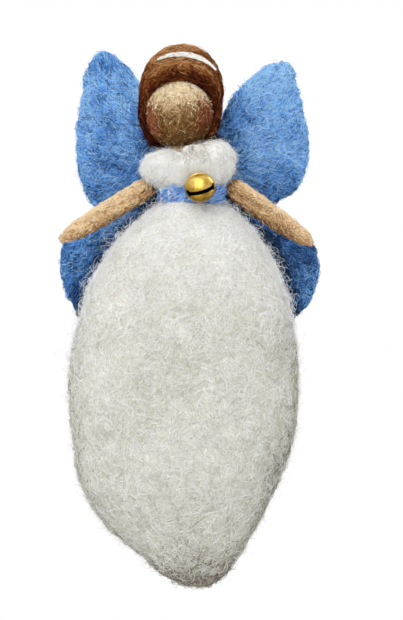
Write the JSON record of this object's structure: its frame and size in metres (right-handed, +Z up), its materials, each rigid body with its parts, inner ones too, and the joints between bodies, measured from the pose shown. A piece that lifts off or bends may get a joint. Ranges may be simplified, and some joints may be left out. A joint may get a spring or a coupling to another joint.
{
  "type": "wool felt fairy doll",
  "caption": "Hanging needle-felted wool fairy with a teardrop skirt, bendable arms, flapping felt wings, a turning head and a jingle bell sewn to the sash.",
  "frame": {"origin": "centre of the tied neck, where the doll is hung from", "axes": "+Z up to the crown of the head, the face looks along -Y, +X to the right as seen from the front"},
  "size_m": [0.0868, 0.0529, 0.1808],
  "materials": {
    "skirt_wool": "fluffy wool",
    "core_wool": "rolled wool",
    "skin_wool": "wound wool",
    "face_wool": "felted wool",
    "cheek_wool": "felted wool",
    "hair_wool": "felted wool",
    "band_wool": "felted wool",
    "bodice_wool": "fluffy wool",
    "sash_wool": "wound wool",
    "wing_felt": "felted wool",
    "thread": "matt thread",
    "arm_wire": "satin",
    "bell_brass": "worn polish",
    "pea_steel": "dull"
  },
  "bodies": {
    "body": {"skirt": "skirt_wool", "torso_core": "core_wool", "neck": "skin_wool", "neck_thread": "thread", "bodice_left": "bodice_wool", "bodice_right": "bodice_wool", "sash": "sash_wool", "shoulder_wire": "arm_wire", "wing_root": "wing_felt", "bell_thread": "thread"},
    "head": {"head_ball": "face_wool", "cheek_left": "cheek_wool", "cheek_right": "cheek_wool", "hair_front": "hair_wool", "hair_back": "hair_wool", "headband": "band_wool"},
    "left_arm": {"arm_left": "skin_wool", "arm_wire_left": "arm_wire"},
    "right_arm": {"arm_right": "skin_wool", "arm_wire_right": "arm_wire"},
    "left_wing": {"wing_upper_left": "wing_felt", "wing_lower_left": "wing_felt"},
    "right_wing": {"wing_upper_right": "wing_felt", "wing_lower_right": "wing_felt"},
    "bell": {"bell_top": "bell_brass", "bell_cup": "bell_brass", "bell_shank": "bell_brass"},
    "pea": {"bell_pea": "pea_steel"}
  },
  "joints": [
    {"name": "head_turn", "type": "hinge", "parent": "body", "child": "head", "pos_m": [0, 0, 0], "axis": [0, 0, 1], "range_deg": [-30, 30], "stiffness_Nm_per_rad": 0.002},
    {"name": "left_arm_bend", "type": "hinge", "parent": "body", "child": "left_arm", "pos_m": [-0.0088, 0, -0.0109], "axis": [0, 1, 0], "range_deg": [-6, 70]},
    {"name": "right_arm_bend", "type": "hinge", "parent": "body", "child": "right_arm", "pos_m": [0.0144, 0, -0.0109], "axis": [0, -1, 0], "range_deg": [-6, 70]},
    {"name": "left_wing_flap", "type": "hinge", "parent": "body", "child": "left_wing", "pos_m": [-0.0063, 0.016, 0], "axis": [0, 0, -1], "range_deg": [-8, 45], "stiffness_Nm_per_rad": 0.001},
    {"name": "right_wing_flap", "type": "hinge", "parent": "body", "child": "right_wing", "pos_m": [0.0089, 0.016, 0], "axis": [0, 0, 1], "range_deg": [-8, 45], "stiffness_Nm_per_rad": 0.001},
    {"name": "bell_swing", "type": "hinge", "parent": "body", "child": "bell", "pos_m": [0.00503, -0.00829, -0.0104], "axis": [-0.9903, -0.1392, 0], "range_deg": [0, 20]},
    {"name": "pea_rattle", "type": "slide", "parent": "bell", "child": "pea", "axis": [1, 0, 0], "range_m": [-0.0008, 0.0008]}
  ]
}
